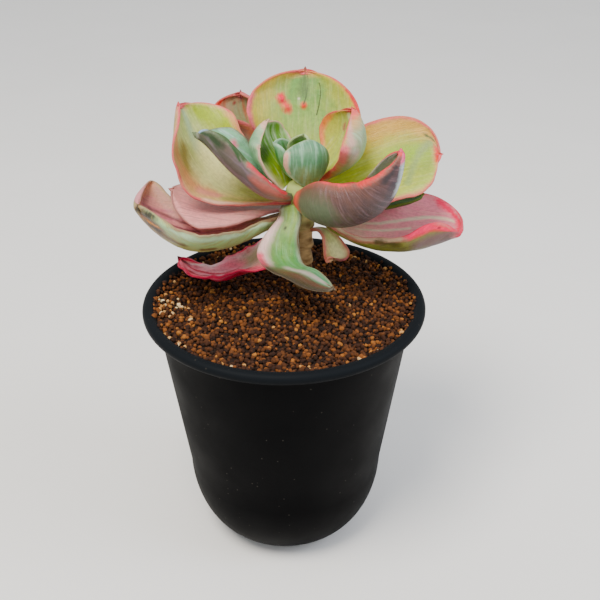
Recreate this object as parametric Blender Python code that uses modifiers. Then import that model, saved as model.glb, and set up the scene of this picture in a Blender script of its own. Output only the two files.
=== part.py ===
# A rosette succulent with broad waxy leaves, in a round black nursery pot full of fine brown granules.
# Metres, +Z up. The origin is the middle of the pot's foot, and the photographed side faces -Y.
import bmesh
import bpy
import numpy as np

MM = 0.001

# The scene starts empty.
for old in list(bpy.data.objects):
    bpy.data.objects.remove(old, do_unlink=True)

plant = bpy.data.collections.new("potted_echeveria")
bpy.context.scene.collection.children.link(plant)
cutters = bpy.data.collections.new("cutters")
bpy.context.scene.collection.children.link(cutters)
cutters.hide_render = True


def slot(name, colour, roughness):
    material = bpy.data.materials.new(name)
    material.use_nodes = True
    shader = material.node_tree.nodes["Principled BSDF"]
    shader.inputs["Base Color"].default_value = (*colour, 1.0)
    shader.inputs["Roughness"].default_value = roughness
    return material


def mesh_object(name, points_mm, faces, collection):
    mesh = bpy.data.meshes.new(name)
    mesh.from_pydata([tuple(float(c) * MM for c in p) for p in points_mm], [], faces)
    mesh.update()
    made = bpy.data.objects.new(name, mesh)
    collection.objects.link(made)
    shape = bmesh.new()
    shape.from_mesh(mesh)
    bmesh.ops.recalc_face_normals(shape, faces=shape.faces)
    shape.to_mesh(mesh)
    shape.free()
    return made


def shade_smooth(made):
    for polygon in made.data.polygons:
        polygon.use_smooth = True


def turned(name, profile_mm, steps, centre_mm=(0.0, 0.0)):
    """A profile of (radius, height) points, turned about a vertical axis."""
    points = [(radius, 0.0, height) for radius, height in profile_mm]
    mesh = bpy.data.meshes.new(name)
    edges = [(i, i + 1) for i in range(len(points) - 1)]
    mesh.from_pydata([tuple(c * MM for c in p) for p in points], edges, [])
    made = bpy.data.objects.new(name, mesh)
    made.location = (centre_mm[0] * MM, centre_mm[1] * MM, 0.0)
    screw = made.modifiers.new("Turn", "SCREW")
    screw.steps = steps
    screw.render_steps = steps
    screw.use_merge_vertices = True
    screw.merge_threshold = 0.00005
    screw.use_smooth_shade = True
    return made


def cylinder(name, x, y, low, high, radius, sides):
    """A vertical cutter, in millimetres."""
    mesh = bpy.data.meshes.new(name)
    shape = bmesh.new()
    bmesh.ops.create_cone(
        shape,
        cap_ends=True,
        segments=sides,
        radius1=radius * MM,
        radius2=radius * MM,
        depth=(high - low) * MM,
    )
    shape.to_mesh(mesh)
    shape.free()
    made = bpy.data.objects.new(name, mesh)
    made.location = (x * MM, y * MM, (high + low) / 2 * MM)
    # A turned shape's first corner is on +X, and a cone's is on +Y.
    made.rotation_euler = (0.0, 0.0, -np.pi / 2)
    cutters.objects.link(made)
    made.hide_render = True
    made.display_type = "WIRE"
    return made


def cut(target, cutter):
    boolean = target.modifiers.new(cutter.name, "BOOLEAN")
    boolean.operation = "DIFFERENCE"
    boolean.solver = "EXACT"
    boolean.object = cutter


# Pot: a thin moulded wall with a rolled lip, a rounded lower corner and a flat foot.
POT_HEIGHT = 102.2
LIP_RADIUS = 52.5
WALL_TOP_RADIUS = 47.0
CORNER_RADIUS = 38.4
CORNER_HEIGHT = 32.3
FOOT_RADIUS = 19.4
WALL = 1.5
POT_SIDES = 56
HOLE_RADIUS = 2.6
HOLE_RING = 12.0
HOLES = 5
DRILL_SIDES = 14


def corner(inset, count):
    """The rounded lower corner from the wall down to the foot, an elliptical arc."""
    wide = CORNER_RADIUS - FOOT_RADIUS
    high = CORNER_HEIGHT - inset
    return [
        (
            FOOT_RADIUS + (wide - inset) * np.cos(t),
            inset + high * (1 - np.sin(t)),
        )
        for t in np.linspace(0, np.pi / 2, count)
    ]


outside = [
    (LIP_RADIUS - 2.4, POT_HEIGHT),
    (LIP_RADIUS - 1.1, POT_HEIGHT - 0.4),
    (LIP_RADIUS - 0.25, POT_HEIGHT - 1.2),
    (LIP_RADIUS, POT_HEIGHT - 2.2),
    (LIP_RADIUS - 0.4, POT_HEIGHT - 3.2),
    (LIP_RADIUS - 1.6, POT_HEIGHT - 4.0),
    (WALL_TOP_RADIUS + 1.2, POT_HEIGHT - 5.2),
    (WALL_TOP_RADIUS, POT_HEIGHT - 7.6),
] + corner(0.0, 9)
inside = [(radius, height) for radius, height in reversed(corner(WALL, 7))] + [
    (WALL_TOP_RADIUS - WALL, POT_HEIGHT - 7.6),
    (WALL_TOP_RADIUS - 0.6, POT_HEIGHT - 4.6),
    (LIP_RADIUS - 5.0, POT_HEIGHT - 2.0),
    (LIP_RADIUS - 3.8, POT_HEIGHT - 0.4),
]
pot = turned("pot", [(0.0, WALL)] + inside + outside + [(0.0, 0.0)], POT_SIDES)
plant.objects.link(pot)
for i in range(HOLES):
    turn = 2 * np.pi * (i + 0.5) / HOLES
    hole = cylinder(
        f"drain_{i}",
        HOLE_RING * np.cos(turn),
        HOLE_RING * np.sin(turn),
        -WALL,
        2.5 * WALL,
        HOLE_RADIUS,
        DRILL_SIDES,
    )
    cut(pot, hole)

# Stem: short and knobbly, upright toward the back of the pot, in a plain hole in the soil.
STEM_X = 7.0
STEM_Y = 15.0
STEM_FOOT = 92.0
STEM_BURIED_RADIUS = 3.6
STEM_SIDES = 14
GAP = 0.3
stem_profile = [
    (0.0, 145.8),
    (1.3, 145.2),
    (2.1, 144.0),
    (3.6, 142.9),
    (4.7, 141.4),
    (4.9, 138.5),
    (4.8, 136.0),
    (4.45, 134.4),
    (4.4, 129.0),
    (4.3, 126.6),
    (4.0, 124.0),
    (3.5, 120.5),
    (3.9, 117.5),
    (3.4, 113.5),
    (3.8, 110.0),
    (3.5, 106.0),
    (STEM_BURIED_RADIUS, 103.0),
    (STEM_BURIED_RADIUS, STEM_FOOT),
    (0.0, STEM_FOOT),
]
stem = turned("stem", stem_profile, STEM_SIDES, (STEM_X, STEM_Y))
plant.objects.link(stem)

# Soil: granules filling the pot nearly to its lip, sunken at the left and under the plant.
SOIL_TOP = 100.3
SOIL_CROWN = 0.5
SOIL_RADIUS = LIP_RADIUS - 5.0 - GAP
SOIL_SIDES = 56
SOIL_RINGS = 13
GRAIN_HEIGHT = 0.45
# Each hollow has its depth, its middle's place and its half length along X and along Y.
LEFT_HOLLOW = (4.5, -33.0, 8.0, 9.0, 13.0)
PLANT_HOLLOW = (1.6, 10.0, 20.0, 16.0, 16.0)
grains = np.random.default_rng(7)


def soil_height(x, y):
    """The height of the soil, before its grains."""
    height = SOIL_TOP + SOIL_CROWN * (1 - (np.hypot(x, y) / SOIL_RADIUS) ** 2)
    for depth, middle_x, middle_y, half_x, half_y in (LEFT_HOLLOW, PLANT_HOLLOW):
        away = ((x - middle_x) / half_x) ** 2 + ((y - middle_y) / half_y) ** 2
        height -= depth * np.exp(-away)
    return height


soil_points = [(0.0, 0.0, WALL + GAP)]
side_profile = [
    (radius - GAP * 1.8, height + GAP * 1.2) for radius, height in reversed(corner(WALL, 5))
]
side_profile += [
    (WALL_TOP_RADIUS - WALL - GAP * 1.7, POT_HEIGHT - 8.0),
    (WALL_TOP_RADIUS - 0.6 - GAP * 2.0, POT_HEIGHT - 4.6),
]
around = [2 * np.pi * i / SOIL_SIDES for i in range(SOIL_SIDES)]
for radius, height in side_profile:
    soil_points += [(radius * np.cos(a), radius * np.sin(a), height) for a in around]
for ring in range(SOIL_RINGS):
    radius = (SOIL_RADIUS - 3 * GAP) * (1 - ring / SOIL_RINGS)
    for a in around:
        # The outermost ring stays round, and the others are shaken.
        loose = 0.0 if ring == 0 else 0.6 * radius * np.pi / SOIL_SIDES
        away = grains.uniform(-loose, loose)
        at = a + grains.uniform(-0.3, 0.3) * 2 * np.pi / SOIL_SIDES * (ring > 0)
        x = (radius + away * 0.5) * np.cos(at)
        y = (radius + away * 0.5) * np.sin(at)
        soil_points.append((x, y, soil_height(x, y) + grains.uniform(-1, 1) * GRAIN_HEIGHT))
rings = len(side_profile) + SOIL_RINGS
soil_points.append((0.0, 0.0, soil_height(0.0, 0.0)))
last = len(soil_points) - 1
soil_faces = []
for i in range(SOIL_SIDES):
    j = (i + 1) % SOIL_SIDES
    soil_faces.append((0, 1 + j, 1 + i))
    top = 1 + (rings - 1) * SOIL_SIDES
    soil_faces.append((last, top + i, top + j))
    for ring in range(rings - 1):
        low = 1 + ring * SOIL_SIDES
        high = low + SOIL_SIDES
        soil_faces.append((low + i, low + j, high + j))
        soil_faces.append((low + i, high + j, high + i))
soil = mesh_object("soil", soil_points, soil_faces, plant)
shade_smooth(soil)
stem_hole = cylinder(
    "stem_hole",
    STEM_X,
    STEM_Y,
    STEM_FOOT - GAP,
    SOIL_TOP + 10.0,
    STEM_BURIED_RADIUS + GAP * 1.3,
    STEM_SIDES,
)
cut(soil, stem_hole)

# Leaves: one fleshy blade each, lofted along a bent midrib from a narrow base to a small point.
# Angles are degrees. Azimuth 0 points to +X and 90 to +Y. The left half is the one that is
# on the left when the leaf is seen from the stem.
EDGE = 0.8
TIP_HALF_WIDTH = 0.5
TIP_HALF = 0.3
MIDRIB_STEPS = 200
BLADE_STEPS = 24


def eased(t):
    t = np.clip(t, 0.0, 1.0)
    return t * t * (3 - 2 * t)


def along(values, u):
    """One number, three of them as a smooth bend, or more at even steps from base to tip."""
    if np.isscalar(values):
        return values + 0.0 * u
    if len(values) == 3:
        first, middle, final = values
        return (
            first * (1 - u) * (1 - 2 * u) + middle * 4 * u * (1 - u) + final * u * (2 * u - 1)
        )
    return np.interp(u, np.linspace(0, 1, len(values)), values)


def leaf(
    name,
    base,
    azimuth,
    length,
    width,
    rise,
    roll=0.0,
    cup=(40.0, 40.0),
    fold=0.0,
    cup_base=0.6,
    share=0.5,
    widest=0.62,
    blunt=2.2,
    flare=1.3,
    base_share=0.3,
    thick=3.0,
    wave=0.0,
    waves=2.0,
    mucro=2.0,
    rows=12,
    columns=8,
):
    """share is the left half's part of the width. cup bends (left, right) halves upward."""
    fine = np.linspace(0, 1, MIDRIB_STEPS)
    climb = np.radians(along(rise, fine))
    bearing = np.radians(along(azimuth, fine))
    lean = np.radians(along(roll, fine))
    forward = np.stack(
        [np.cos(climb) * np.cos(bearing), np.cos(climb) * np.sin(bearing), np.sin(climb)], 1
    )
    rib = np.zeros_like(forward)
    step = length / (MIDRIB_STEPS - 1)
    rib[1:] = np.cumsum((forward[1:] + forward[:-1]) / 2 * step, axis=0)
    rib += np.array(base)
    level = np.stack([-np.sin(bearing), np.cos(bearing), 0 * bearing], 1)
    upward = np.cross(forward, level)
    left = level * np.cos(lean)[:, None] + upward * np.sin(lean)[:, None]
    facing = np.cross(forward, left)

    steps = 1 - (1 - np.linspace(0, 1, rows)) ** 1.15

    def sampled(values):
        return np.stack([np.interp(steps, fine, values[:, k]) for k in range(3)], 1)

    rib, left, facing, forward = map(sampled, (rib, left, facing, forward))
    across = np.linspace(-1, 1, columns + 1)
    out = np.linspace(0, 1, BLADE_STEPS)
    upper = np.zeros((rows, columns + 1, 3))
    for i, u in enumerate(steps):
        if u < widest:
            half = base_share + (1 - base_share) * np.sin(u / widest * np.pi / 2) ** flare
        else:
            half = (1 - ((u - widest) / (1 - widest)) ** blunt) ** 0.5
        half = max(width / 2 * half, TIP_HALF_WIDTH)
        grown = cup_base + (1 - cup_base) * eased(u / 0.6)
        left_share = along(share, u)
        for side, part, curl in ((1, left_share, cup[0]), (-1, 1 - left_share, cup[1])):
            angle = np.radians(grown * (fold * eased(out / 0.25) + along(curl, u) * out))
            run = np.cumsum(np.cos(angle)) - np.cos(angle[0])
            climb_out = np.cumsum(np.sin(angle))
            reach = half * 2 * part / (BLADE_STEPS - 1)
            for j, v in enumerate(across):
                if v * side < 0 or (v == 0 and side < 0):
                    continue
                x = np.interp(abs(v), out, run) * reach
                z = np.interp(abs(v), out, climb_out) * reach
                tilt = np.interp(abs(v), out, angle)
                crinkle = np.sin(2 * np.pi * (waves * u + (0.3 if v > 0 else 0.0)))
                crinkle *= wave * abs(v) ** 3 * eased(u / 0.3)
                x -= np.sin(tilt) * crinkle
                z += np.cos(tilt) * crinkle
                upper[i, j] = rib[i] + left[i] * side * x + facing[i] * z

    normal = np.cross(np.gradient(upper, axis=0), np.gradient(upper, axis=1))
    normal /= np.linalg.norm(normal, axis=2, keepdims=True)
    middle = thick * (0.75 + 0.25 * eased(steps / 0.25)) * (1 - 0.55 * eased((steps - 0.6) / 0.4))
    depth = EDGE + (middle[:, None] - EDGE) * (1 - np.abs(across)[None, :] ** 1.6) ** 0.8
    lower = upper - normal * np.maximum(depth, EDGE)[:, :, None]

    # The small point at the tip.
    heart = (upper[-1].mean(axis=0) + lower[-1].mean(axis=0)) / 2 + forward[-1] * mucro
    line = np.array([heart + left[-1] * TIP_HALF * v for v in across])
    lift = normal[-1, columns // 2] * TIP_HALF
    upper = np.concatenate([upper, [line + lift]])
    lower = np.concatenate([lower, [line - lift]])

    count = columns + 1
    total = (rows + 1) * count
    points = np.concatenate([upper.reshape(-1, 3), lower.reshape(-1, 3)])
    faces = []
    for i in range(rows):
        for j in range(columns):
            a = i * count + j
            b = a + count
            faces += [(a, b, b + 1), (a, b + 1, a + 1)]
            faces += [(total + a, total + b + 1, total + b), (total + a, total + a + 1, total + b + 1)]
        for a in (i * count, i * count + columns):
            b = a + count
            faces += [(a, total + a, total + b), (a, total + b, b)]
    for j in range(columns):
        for a in (j, rows * count + j):
            faces += [(a, total + a, total + a + 1), (a, total + a + 1, a + 1)]
    made = mesh_object(name, points, faces, plant)
    shade_smooth(made)
    return made


# The upper ring of large leaves.
leaf(
    "leaf_back",
    base=(7.8, 20.6, 139.5),
    azimuth=90,
    length=43.5,
    width=48,
    rise=(30, 55, 65),
    roll=(-4, 2, -12),
    cup=(65, 15),
    cup_base=0.4,
    share=0.56,
    widest=0.57,
    blunt=1.9,
    flare=1.9,
    base_share=0.1,
)
leaf(
    "leaf_back_left",
    base=(2.3, 22.4, 139.4),
    azimuth=(118, 125, 110),
    length=46.5,
    width=28,
    rise=(18, 23, 88),
    roll=(35, 35, -35),
    cup=(62, 75),
    cup_base=0.5,
    share=0.55,
    widest=0.72,
    blunt=4.2,
    flare=1.6,
    base_share=0.24,
)
leaf(
    "leaf_upper_left",
    base=(2.0, 16.5, 134.6),
    azimuth=(160, 160, 166),
    length=58,
    width=42.5,
    rise=(-12, 37, 76),
    roll=(-12, -12, -6),
    cup=((17, 7, 42), (46, 125, 4)),
    fold=5,
    cup_base=1.0,
    share=0.54,
    widest=0.59,
    blunt=3.7,
    flare=2.2,
    base_share=0.1,
)
leaf(
    "leaf_inner_left",
    base=(2.0, 12.3, 138.0),
    azimuth=(230, 186, 170),
    length=43,
    width=28,
    rise=(12, 45, 28),
    roll=(0, 6, 32),
    cup=(87, 45),
    cup_base=0.8,
    share=0.28,
    widest=0.8,
    blunt=1.3,
    flare=0.8,
    base_share=0.18,
)
leaf(
    "leaf_front_right",
    base=(7.0, 7.8, 136.4),
    azimuth=(-54, -22, 29),
    length=54.5,
    width=36,
    rise=(-15, 32, 92),
    roll=(-10, -17, -7),
    cup=(98, 117),
    cup_base=1.0,
    share=0.5,
    widest=0.3,
    blunt=1.3,
    flare=0.8,
    base_share=0.42,
)
leaf(
    "leaf_upper_right",
    base=(12.1, 18.2, 137.6),
    azimuth=(1, 11, -4),
    length=47,
    width=38,
    rise=(16, 17, 4),
    roll=(10, 26, 33),
    cup=(40, 25),
    share=0.47,
    widest=0.47,
    blunt=3.8,
    flare=1.9,
    base_share=0.14,
)

# The lower ring, which lies nearly flat, and the leaves that droop over the soil.
leaf(
    "leaf_lower_right",
    base=(12.3, 11.3, 132.0),
    azimuth=(-7, -8, -20),
    length=55,
    width=42.5,
    rise=(-42, -5, 29),
    roll=(-2, 5, -25),
    cup=(43, 71),
    share=0.67,
    widest=0.75,
    blunt=2.9,
    base_share=0.12,
)
leaf(
    "leaf_shaded_right",
    base=(11.9, 16.7, 134.75),
    azimuth=8,
    length=39.6,
    width=24,
    rise=(-11, 0, 5),
    cup=(25, 25),
    base_share=0.22,
)
leaf(
    "leaf_lower_left_front",
    base=(1.0, 14.6, 129.2),
    azimuth=(183, 192, 193),
    length=61,
    width=45.5,
    rise=(-24, 1, 68),
    roll=(21, 2, 24),
    cup=((54, 55, 8), (71, 57, 70)),
    cup_base=0.6,
    share=(0.46, 0.72, 0.28),
    widest=0.84,
    blunt=3.5,
    flare=1.4,
    base_share=0.15,
)
leaf(
    "leaf_lower_left_back",
    base=(1.5, 17.7, 131.4),
    azimuth=(170, 178, 184),
    length=44,
    width=32,
    rise=(-11, 8, 24),
    roll=(6, 0, -7),
    cup=(0, 5),
    share=0.7,
    widest=0.72,
    blunt=1.6,
    flare=1.8,
    base_share=0.2,
    thick=2.2,
)
leaf(
    "leaf_front_drooping",
    base=(3.7, 9.2, 134.3),
    azimuth=(-67, -122, -106, -66, -33, -31, -19),
    length=40,
    width=19.5,
    rise=(-59, -41, -65, -22, 4, -27, -24),
    roll=(4, -11, -10),
    cup=(-4, 6),
    share=0.28,
    widest=0.7,
    flare=1.8,
    base_share=0.39,
)
leaf(
    "leaf_front_small",
    base=(11.0, 12.1, 125.1),
    azimuth=(0, -19, -13),
    length=21,
    width=10.5,
    rise=(12, -38, -57, -65, -200),
    roll=(-24, 30, 35),
    cup=(4, -5),
    share=0.28,
    widest=0.85,
    blunt=2.9,
    flare=0.8,
    base_share=0.22,
    thick=2.2,
)
leaf(
    "leaf_withered",
    base=(1.8, 14.0, 122.6),
    azimuth=(183, 197, 176, 168, 137),
    length=49.5,
    width=19.5,
    rise=(-46, -37, -22, -3, 30),
    roll=(-33, -3, -4),
    cup=(37, 16),
    share=0.53,
    widest=0.43,
    blunt=1.3,
    flare=0.8,
    base_share=0.26,
    thick=2.0,
    wave=0.7,
    waves=2.4,
)

# The young leaves round the heart.
leaf(
    "leaf_heart_right",
    base=(11.8, 17.7, 141.4),
    azimuth=22,
    length=31,
    width=42,
    rise=(30, 56, 109),
    roll=12,
    cup=(20, 91),
    cup_base=0.8,
    share=0.38,
    widest=0.61,
    blunt=2.6,
    flare=2.2,
    base_share=0.1,
    thick=2.4,
)
leaf(
    "leaf_heart_left",
    base=(2.0, 17.9, 141.7),
    azimuth=145,
    length=24,
    width=31.5,
    rise=(79, 46, 128),
    roll=-12,
    cup=(80, -5),
    cup_base=0.7,
    share=0.67,
    widest=0.48,
    blunt=4.0,
    flare=0.9,
    base_share=0.5,
    thick=2.4,
)
leaf(
    "leaf_heart_small_left",
    base=(2.6, 15.5, 144.8),
    azimuth=184,
    length=13,
    width=13.5,
    rise=(49, 69, 57),
    roll=-12,
    cup=(116, 38),
    cup_base=0.4,
    share=0.3,
    widest=0.56,
    blunt=1.8,
    flare=1.6,
    base_share=0.44,
    thick=1.8,
    mucro=1.2,
    rows=8,
    columns=6,
)
leaf(
    "leaf_heart_small_back",
    base=(7.3, 18.3, 144.4),
    azimuth=83,
    length=14,
    width=12,
    rise=(73, 88, 106),
    roll=-8,
    cup=(39, 84),
    cup_base=0.8,
    share=0.52,
    blunt=2.4,
    flare=1.2,
    base_share=0.41,
    thick=1.8,
    mucro=1.2,
    rows=8,
    columns=6,
)
leaf(
    "leaf_heart_front",
    base=(9.1, 11.1, 143.1),
    azimuth=-78,
    length=18,
    width=17.5,
    rise=(81, 89, 197),
    roll=-12,
    cup=(67, 7),
    cup_base=1.0,
    share=0.46,
    widest=0.45,
    blunt=3.5,
    flare=0.85,
    base_share=0.38,
    thick=2.2,
    mucro=1.2,
)

# One slot of material for each kind of surface.
slots = {
    "pot_plastic": slot("pot_plastic", (0.012, 0.013, 0.014), 0.5),
    "soil_granules": slot("soil_granules", (0.09, 0.04, 0.02), 0.9),
    "stem_skin": slot("stem_skin", (0.30, 0.18, 0.08), 0.8),
    "leaf_skin": slot("leaf_skin", (0.42, 0.48, 0.26), 0.5),
    "withered_skin": slot("withered_skin", (0.60, 0.12, 0.13), 0.6),
}
for made in plant.objects:
    if made.name in ("pot", "soil", "stem"):
        name = {"pot": "pot_plastic", "soil": "soil_granules", "stem": "stem_skin"}[made.name]
    elif made.name == "leaf_withered":
        name = "withered_skin"
    else:
        name = "leaf_skin"
    made.data.materials.append(slots[name])
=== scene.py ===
# %% [markdown]
# # A potted rosette succulent
# A rosette of broad waxy leaves stands on a short stem, in a soft black nursery pot full of
# fine baked-clay granules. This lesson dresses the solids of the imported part: every leaf, the
# pot, the soil and the stem gets a finer mesh of the same form, and a finish built from nodes.

import bmesh
import bpy
import numpy as np
from mathutils import Matrix


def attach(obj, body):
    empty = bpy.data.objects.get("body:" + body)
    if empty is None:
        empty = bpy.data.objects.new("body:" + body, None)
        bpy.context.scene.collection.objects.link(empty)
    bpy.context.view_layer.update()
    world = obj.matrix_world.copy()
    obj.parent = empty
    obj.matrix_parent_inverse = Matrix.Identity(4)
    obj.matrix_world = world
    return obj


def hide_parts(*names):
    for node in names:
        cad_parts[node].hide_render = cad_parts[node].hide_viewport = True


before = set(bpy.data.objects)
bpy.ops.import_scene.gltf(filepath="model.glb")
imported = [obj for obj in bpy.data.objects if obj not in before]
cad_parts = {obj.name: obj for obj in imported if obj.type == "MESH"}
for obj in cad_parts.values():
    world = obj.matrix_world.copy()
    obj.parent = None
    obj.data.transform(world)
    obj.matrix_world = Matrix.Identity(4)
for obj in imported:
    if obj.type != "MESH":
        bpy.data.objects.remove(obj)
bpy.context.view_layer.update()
MM = 0.001
print("nodes:", len(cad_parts))

# %% [markdown]
# ## Camera
# The photograph looks down on the pot by 30 degrees, from a little more than 30 cm away. A lens
# of about 55 mm on a 36 mm sensor gives the same perspective. The camera is set first, because
# everything else is judged through it.

# %% Camera


def placed(name, data):
    """A new object of the scene that holds the data."""
    made = bpy.data.objects.new(name, data)
    bpy.context.scene.collection.objects.link(made)
    return made


camera_data = bpy.data.cameras.new("view")
camera_data.sensor_width = 36.0
camera_data.lens = 55.4
camera_data.clip_start = 0.01
camera = placed("view", camera_data)
camera.location = (0.0059, -0.2985, 0.2732)
camera.rotation_euler = (np.radians(60.0), 0.0, 0.0)
bpy.context.scene.camera = camera
print("lens:", camera_data.lens)

# %% [markdown]
# ## Colours and nodes
# Screen colours are written as hex, and a shader wants linear light, so one function turns the
# one into the other. A second feeds a node: each input gets a number or a colour, or a link
# from another node's output. A third adds a node, with its settings, feeds and colour stops.

# %% Helpers for materials


def colour(hex_text):
    """The linear RGBA of an sRGB hex value."""
    srgb = np.array([int(hex_text[i : i + 2], 16) / 255 for i in (0, 2, 4)])
    linear = np.where(srgb <= 0.04045, srgb / 12.92, ((srgb + 0.055) / 1.055) ** 2.4)
    return (*(float(c) for c in linear), 1.0)


def feed(tree, node, feeds):
    """Sets each named or numbered input, or links a socket into it."""
    for key, value in feeds.items():
        if isinstance(value, bpy.types.NodeSocket):
            tree.links.new(value, node.inputs[key])
        else:
            node.inputs[key].default_value = value


def add(tree, kind, feeds=(), out=0, stops=(), **settings):
    """Adds a node and gives one of its outputs. Feeds are a dict, or inputs in their order."""
    node = tree.nodes.new("ShaderNode" + kind)
    for name, value in settings.items():
        setattr(node, name, value)
    feed(tree, node, feeds if isinstance(feeds, dict) else dict(enumerate(feeds)))
    if stops:
        ramp = node.color_ramp.elements
        for end, (position, tint) in ((ramp[0], stops[0]), (ramp[1], stops[-1])):
            end.position = position
            end.color = colour(tint)
        for position, tint in stops[1:-1]:
            ramp.new(position).color = colour(tint)
    return node.outputs[out]


def new_material(name):
    """A material with its node tree and its main shader."""
    material = bpy.data.materials.new(name)
    material.use_nodes = True
    return material, material.node_tree, material.node_tree.nodes["Principled BSDF"]


# %% [markdown]
# ## Light and floor
# The plant stood in soft daylight from above, with the room filling the shadows. A broad lamp
# overhead and slightly to the front left gives the same gentle shading on wax, a weaker one
# fills from the right, and a pale world keeps the black pot from falling to pure black.

# %% Studio
world = bpy.data.worlds.new("soft_room")
world.use_nodes = True
room = {"Color": colour("EEF1F5"), "Strength": 1.0}
feed(world.node_tree, world.node_tree.nodes["Background"], room)
bpy.context.scene.world = world


def soft_lamp(name, place, aim, size, watts, tint):
    data = bpy.data.lights.new(name, "AREA")
    data.shape = "DISK"
    data.size = size
    data.energy = watts
    data.color = colour(tint)[:3]
    lamp = placed(name, data)
    lamp.location = place
    away = np.subtract(place, aim)
    tilt = np.arctan2(np.hypot(away[0], away[1]), away[2])
    lamp.rotation_euler = (tilt, 0.0, np.arctan2(away[0], -away[1]))


PLANT_MIDDLE = (0, 0, 0.12)
soft_lamp("overhead", (-0.25, -0.35, 0.95), PLANT_MIDDLE, 0.45, 11.5, "FFF8EC")
soft_lamp("fill", (0.7, -0.2, 0.6), PLANT_MIDDLE, 0.5, 3.5, "EAF1FF")

floor_mesh = bpy.data.meshes.new("floor")
floor_mesh.from_pydata([(-3, -3, 0), (3, -3, 0), (3, 3, 0), (-3, 3, 0)], [], [(0, 1, 2, 3)])
floor = placed("floor", floor_mesh)
floor_paint, tree, shader = new_material("matte_pale_paint")
speckle = add(tree, "TexNoise", {"Scale": 60.0, "Detail": 4.0})
pale = add(tree, "ValToRGB", [speckle], stops=[(0.0, "EFEDE9"), (1.0, "F6F4F1")])
feed(tree, shader, {"Base Color": pale, "Roughness": 0.85})
floor_mesh.materials.append(floor_paint)
print("lamps:", len(bpy.data.lights))

# %% [markdown]
# ## Meshes from points
# All pieces here are grown from formulas, so one function makes an object from points in
# millimetres and faces. Numbers kept on each point, such as the distance from a leaf's margin,
# travel with the mesh and steer its colours. Every piece rides on the body "root", and stands
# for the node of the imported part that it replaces.

# %% Helper for meshes


def piece(name, points_mm, faces, material, node=None, kept=None):
    mesh = bpy.data.meshes.new(name)
    mesh.from_pydata((np.asarray(points_mm) * MM).tolist(), [], faces)
    for polygon in mesh.polygons:
        polygon.use_smooth = True
    for key, values in (kept or {}).items():
        values = np.asarray(values, np.float32)
        kind = "FLOAT" if values.ndim == 1 else "FLOAT_VECTOR"
        field = "value" if values.ndim == 1 else "vector"
        mesh.attributes.new(key, kind, "POINT").data.foreach_set(field, values.ravel())
    mesh.materials.append(material)
    made = placed(name, mesh)
    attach(made, "root")
    if node:
        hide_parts(node)
    triangles = sum(len(polygon.vertices) - 2 for polygon in mesh.polygons)
    print(f"{name}: {triangles} triangles")
    return made


def closed_rings(rings):
    """Quads between neighbouring rings of points, with a fan at each end. Each ring is a row."""
    count, around = rings.shape[:2]
    i, j = np.meshgrid(np.arange(count - 1), np.arange(around), indexing="ij")
    a = i * around + j
    b = i * around + (j + 1) % around
    sides = np.stack([a, b, b + around, a + around], -1).reshape(-1, 4).tolist()
    first, last = count * around, count * around + 1
    top = (count - 1) * around
    caps = [(first, (k + 1) % around, k) for k in range(around)]
    caps += [(last, top + k, top + (k + 1) % around) for k in range(around)]
    return sides + caps


# %% [markdown]
# ## The form of a leaf
# A leaf of this plant is a thick, cupped paddle. Its midrib bends upward, it widens from a
# narrow foot to a broad end, and it closes on a small hard point. The blade below is lofted
# along that midrib: at each step its half width is laid out to both sides on an arc that lifts
# the margins. The cross-section is one closed loop with a rounded rim, as flesh has, and each
# point remembers how far along, how far across and how far from the margin it is.

# %% Lofting a blade
# The rim's thickness in mm, and how finely a blade, its margin, its rib and its arc are divided.
EDGE = 0.8
ROWS = 76
COLUMNS = 44
RIM_STEPS = 3
RIB_STEPS = 199
ARC_STEPS = 23
# The longest wave of a blade's unevenness, and the shorter ones, in mm.
WAVES = (17.0, 11.0, 7.0, 4.5)


def eased(t):
    t = np.clip(t, 0.0, 1.0)
    return t * t * (3 - 2 * t)


def bend(values, u):
    """One number, a smooth bend through three, or straight runs through more, base to tip."""
    if np.isscalar(values):
        return values + 0.0 * u
    if len(values) == 3:
        first, middle, final = values
        return (
            first * (1 - u) * (1 - 2 * u) + middle * 4 * u * (1 - u) + final * u * (2 * u - 1)
        )
    return np.interp(u, np.linspace(0, 1, len(values)), values)


def unit(vectors):
    return vectors / np.maximum(np.linalg.norm(vectors, axis=-1, keepdims=True), 1e-9)


def midrib(u, base, azimuth, length, rise, roll):
    """Place, left, facing and forward directions along the rib, at each u."""
    fine = np.linspace(0, 1, RIB_STEPS + 1)
    climb, bearing, lean = (np.radians(bend(v, fine)) for v in (rise, azimuth, roll))
    forward = np.stack(
        [np.cos(climb) * np.cos(bearing), np.cos(climb) * np.sin(bearing), np.sin(climb)], 1
    )
    steps = (forward[1:] + forward[:-1]) / 2 * length / RIB_STEPS
    rib = np.vstack([np.zeros(3), np.cumsum(steps, axis=0)]) + np.array(base)
    level = np.stack([-np.sin(bearing), np.cos(bearing), 0 * bearing], 1)
    upward = np.cross(forward, level)
    left = level * np.cos(lean)[:, None] + upward * np.sin(lean)[:, None]
    facing = np.cross(forward, left)
    lines = (rib, left, facing, forward)
    return [np.stack([np.interp(u, fine, a[:, k]) for k in range(3)], 1) for a in lines]


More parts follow.
